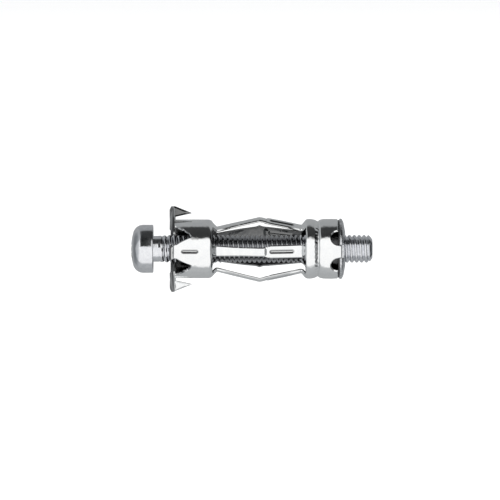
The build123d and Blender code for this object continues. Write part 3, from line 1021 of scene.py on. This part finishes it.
for number, angle in zip(legs, leg_angles):
    front_body, rear_body = f"leg_{number}_front", f"leg_{number}_rear"
    both = ("front", "rear")
    root = leg_strip(f"leg_{number}_front_fold", angle, FRONT_JOIN_X, MID_FRONT_X, both)
    finish_piece(root, sleeve_zinc)
    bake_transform(root)
    middle = leg_strip(f"leg_{number}_crease", angle, MID_FRONT_X, MID_REAR_X, both)
    finish_piece(middle, sleeve_zinc, replaces=[front_body])
    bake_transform(middle)
    if number == 1:
        rear = leg_strip(f"leg_{number}_rear_fold", angle, MID_REAR_X, REAR_JOIN_X, both)
        finish_piece(rear, sleeve_zinc, replaces=[rear_body])
        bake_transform(rear)
    else:
        open_end_x = rear_fold_x + OPEN_END_LAP
        rear = leg_strip(f"leg_{number}_rear_end", angle, MID_REAR_X, open_end_x, ("front",))
        finish_piece(rear, sleeve_zinc, rear_body, [rear_body])

finish_piece(make_collar(), sleeve_zinc, "rear_collar", ["rear_collar"])
finish_piece(make_nut(), nut_zinc, "rear_collar", ["end_nut"])
finish_piece(make_thread(), screw_zinc, "screw")
finish_piece(make_head(), screw_zinc, "screw", ["machine_screw"])

# ---------------------------------------------------------------- floor, light, camera
FLOOR_DROP = 0.06
FLOOR_SIZE = 8.0
bpy.ops.mesh.primitive_plane_add(size=FLOOR_SIZE, location=(0, 0, -FLOOR_DROP))
floor = bpy.context.object
floor.name = "floor"
floor.data.materials.append(floor_material())
floor.visible_glossy = False


def band_ramp(nodes, links, value, low, high, stops):
    """A ramp of grey tones, from (place, tone) stops between low and high."""
    share = nodes.new("ShaderNodeMapRange")
    share.inputs["From Min"].default_value = low
    share.inputs["From Max"].default_value = high
    links.new(value, share.inputs["Value"])
    ramp = nodes.new("ShaderNodeValToRGB")
    ramp.color_ramp.interpolation = "EASE"
    elements = ramp.color_ramp.elements
    elements.remove(elements[-1])
    for index, (stop, tone) in enumerate(stops):
        at = (stop - low) / (high - low)
        element = elements[0] if index == 0 else elements.new(at)
        element.position = at
        tint = (1, 1, 1) if tone > 0.9 else (0.965, 0.99, 1.01)
        element.color = (tone * tint[0], tone * tint[1], tone * tint[2], 1)
    links.new(share.outputs["Result"], ramp.inputs["Fac"])
    return ramp.outputs["Color"]


def mixed(nodes, links, mode, first, second, amount=None):
    """Two colours joined by a mix node."""
    mix = nodes.new("ShaderNodeMix")
    mix.data_type = "RGBA"
    mix.blend_type = mode
    mix.inputs["Factor"].default_value = 1.0
    links.new(first, mix.inputs["A"])
    links.new(second, mix.inputs["B"])
    if amount:
        links.new(amount, mix.inputs["Factor"])
    return mix.outputs["Result"]


def studio_world():
    """Light from all round: white front, dark band above it, grey behind and below."""
    world = bpy.data.worlds.new("studio")
    world.use_nodes = True
    nodes, links = world.node_tree.nodes, world.node_tree.links
    nodes.clear()
    place = nodes.new("ShaderNodeTexCoord")
    parts = nodes.new("ShaderNodeSeparateXYZ")
    links.new(place.outputs["Generated"], parts.inputs["Vector"])
    forward = nodes.new("ShaderNodeMath")
    forward.operation = "MULTIPLY"
    forward.inputs[1].default_value = -1.0
    links.new(parts.outputs["Y"], forward.inputs[0])
    height = nodes.new("ShaderNodeMath")
    height.operation = "ARCTAN2"
    links.new(parts.outputs["Z"], height.inputs[0])
    links.new(forward.outputs[0], height.inputs[1])
    degrees_up = nodes.new("ShaderNodeMath")
    degrees_up.operation = "DEGREES"
    links.new(height.outputs[0], degrees_up.inputs[0])

    def by_height(stops):
        return band_ramp(nodes, links, degrees_up.outputs[0], -180, 180, stops)

    def by_side(stops):
        return band_ramp(nodes, links, parts.outputs["X"], -1, 1, stops)

    front = [(-180, 0.38), (-120, 0.42), (-75, 0.48), (-60, 1.02), (42, 1.05)]
    plain = by_height(front + [(60, 0.5), (108, 0.4), (180, 0.38)])
    dark = by_height(front + [(54, 0.035), (97, 0.045), (110, 0.35), (180, 0.38)])
    flag_side = by_side([(-1, 0), (-0.5, 0), (-0.3, 1), (1, 1)])
    sky = mixed(nodes, links, "MIX", plain, dark, flag_side)
    left_stops = [(-1, 0.5), (-0.8, 0.6), (-0.58, 1)]
    right_stops = [(0.66, 1), (0.75, 0.16), (0.85, 0.2), (0.92, 0.5), (0.97, 0.15), (1, 0.12)]
    sky = mixed(nodes, links, "MULTIPLY", sky, by_side(left_stops + right_stops))
    light = nodes.new("ShaderNodeBackground")
    links.new(sky, light.inputs["Color"])
    out = nodes.new("ShaderNodeOutputWorld")
    links.new(light.outputs[0], out.inputs["Surface"])
    bpy.context.scene.world = world


studio_world()


def soft_light(name, location, size, watts):
    """A large overhead panel that lights the floor and stays out of the metal's reflections."""
    data = bpy.data.lights.new(name, "AREA")
    data.size = size
    data.energy = watts
    lamp = bpy.data.objects.new(name, data)
    lamp.location = location
    lamp.visible_glossy = False
    bpy.context.scene.collection.objects.link(lamp)


soft_light("overhead_panel", (0, 0, 3.0), 6.0, 200)

# a small dark flag in front of the screw's head, seen only in its reflection
FLAG_DISTANCE = 0.014
FLAG_PAST_HEAD = 1.35  # its front edge, as a share of the way to the head's top
FLAG_FROM, FLAG_TO = radians(14.5), radians(50.0)  # upward, from the head
head_low, head_high = screw_low.x * MM, HEAD_UNDER_X * MM
flag_mesh = bpy.data.meshes.new("flag")
flag_corners = [
    (x, -FLAG_DISTANCE * cos(angle), FLAG_DISTANCE * sin(angle))
    for angle in (FLAG_FROM, FLAG_TO)
    for x in (head_low * FLAG_PAST_HEAD, head_high)
]
flag_mesh.from_pydata(flag_corners, [], [(0, 1, 3, 2)])
flag = bpy.data.objects.new("flag", flag_mesh)
bpy.context.scene.collection.objects.link(flag)
flag.data.materials.append(flag_material())
flag.visible_camera = flag.visible_diffuse = False
flag.visible_shadow = flag.visible_transmission = False

CAMERA_DISTANCE = 0.9
CAMERA_ELEVATION = radians(6.0)
PICTURE_WIDTH = 0.10275
# how far the picture's middle is off the anchor's middle
PICTURE_SHIFT = (-0.35 * MM, -0.25 * MM)
camera_data = bpy.data.cameras.new("camera")
camera = bpy.data.objects.new("camera", camera_data)
bpy.context.scene.collection.objects.link(camera)
back = Vector((0, -cos(CAMERA_ELEVATION), sin(CAMERA_ELEVATION)))
up = Vector((0, sin(CAMERA_ELEVATION), cos(CAMERA_ELEVATION)))
middle_x = (cad_low.x + cad_high.x) / 2
target = Vector((middle_x + PICTURE_SHIFT[0], 0, 0)) + up * PICTURE_SHIFT[1]
camera.location = target + back * CAMERA_DISTANCE
camera.rotation_mode = "QUATERNION"
camera.rotation_quaternion = (-back).to_track_quat("-Z", "Y")
camera_data.lens = camera_data.sensor_width * CAMERA_DISTANCE / PICTURE_WIDTH
camera_data.clip_start, camera_data.clip_end = 0.01, 50.0
bpy.context.scene.camera = camera
bpy.context.scene.view_settings.view_transform = "Standard"
